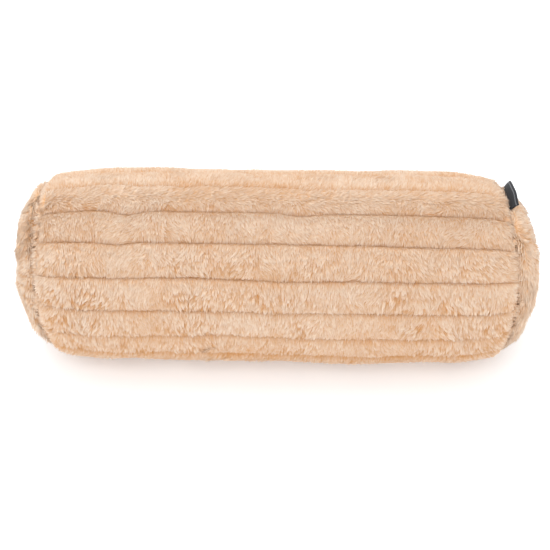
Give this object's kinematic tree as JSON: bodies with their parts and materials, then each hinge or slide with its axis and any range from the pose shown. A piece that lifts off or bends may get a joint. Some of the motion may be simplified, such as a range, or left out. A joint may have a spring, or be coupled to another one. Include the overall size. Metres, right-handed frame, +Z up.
{
  "type": "bolster pillow",
  "caption": "Cylindrical bolster pillow with a ribbed short-plush cover, domed plain ends, a concealed zip and a fibre-filled inner pad.",
  "frame": {"origin": "on the surface that the pillow rests on, under the middle of the pillow", "axes": "+X along the pillow's length, towards the end with the side label; -Y is the front and +Z is up; the zip is at the back, +Y"},
  "size_m": [0.54, 0.2, 0.1928],
  "materials": {
    "plush_ribbed": "matte",
    "plush_plain": "matte",
    "sewing_thread": "matte",
    "zip_tape": "matte",
    "zip_nylon": "satin",
    "zip_metal": "satin",
    "woven_label": "matte",
    "care_label": "satin",
    "casing_fabric": "matte",
    "polyester_fibre": "matte"
  },
  "bodies": {
    "cover": {"cover_body_panel": "plush_ribbed", "cover_end_left": "plush_plain", "cover_end_right": "plush_plain", "end_seam_stitches_left": "sewing_thread", "end_seam_stitches_right": "sewing_thread", "lengthwise_seam_stitches": "sewing_thread", "zip_tape_upper": "zip_tape", "zip_tape_lower": "zip_tape", "zip_coil_upper": "zip_nylon", "zip_coil_lower": "zip_nylon", "zip_stitches_upper": "sewing_thread", "zip_stitches_lower": "sewing_thread", "zip_top_stop": "zip_metal", "zip_bottom_stop": "zip_metal", "side_label": "woven_label", "care_label": "care_label", "inner_casing_tube": "casing_fabric", "inner_casing_end_left": "casing_fabric", "inner_casing_end_right": "casing_fabric", "inner_seam_stitches_left": "sewing_thread", "inner_seam_stitches_right": "sewing_thread", "filling_core": "polyester_fibre"},
    "zip_slider": {"zip_slider": "zip_metal"},
    "zip_pull": {"zip_pull_tab": "zip_metal"}
  },
  "joints": [
    {"name": "zip_slide", "type": "slide", "parent": "cover", "child": "zip_slider", "axis": [1, 0, 0], "range_m": [0, 0.375]},
    {"name": "pull_turn", "type": "hinge", "parent": "zip_slider", "child": "zip_pull", "pos_m": [-0.189, 0.09267, 0.11034], "axis": [0, -0.1736, 0.9848], "range_deg": [0, 160]}
  ]
}
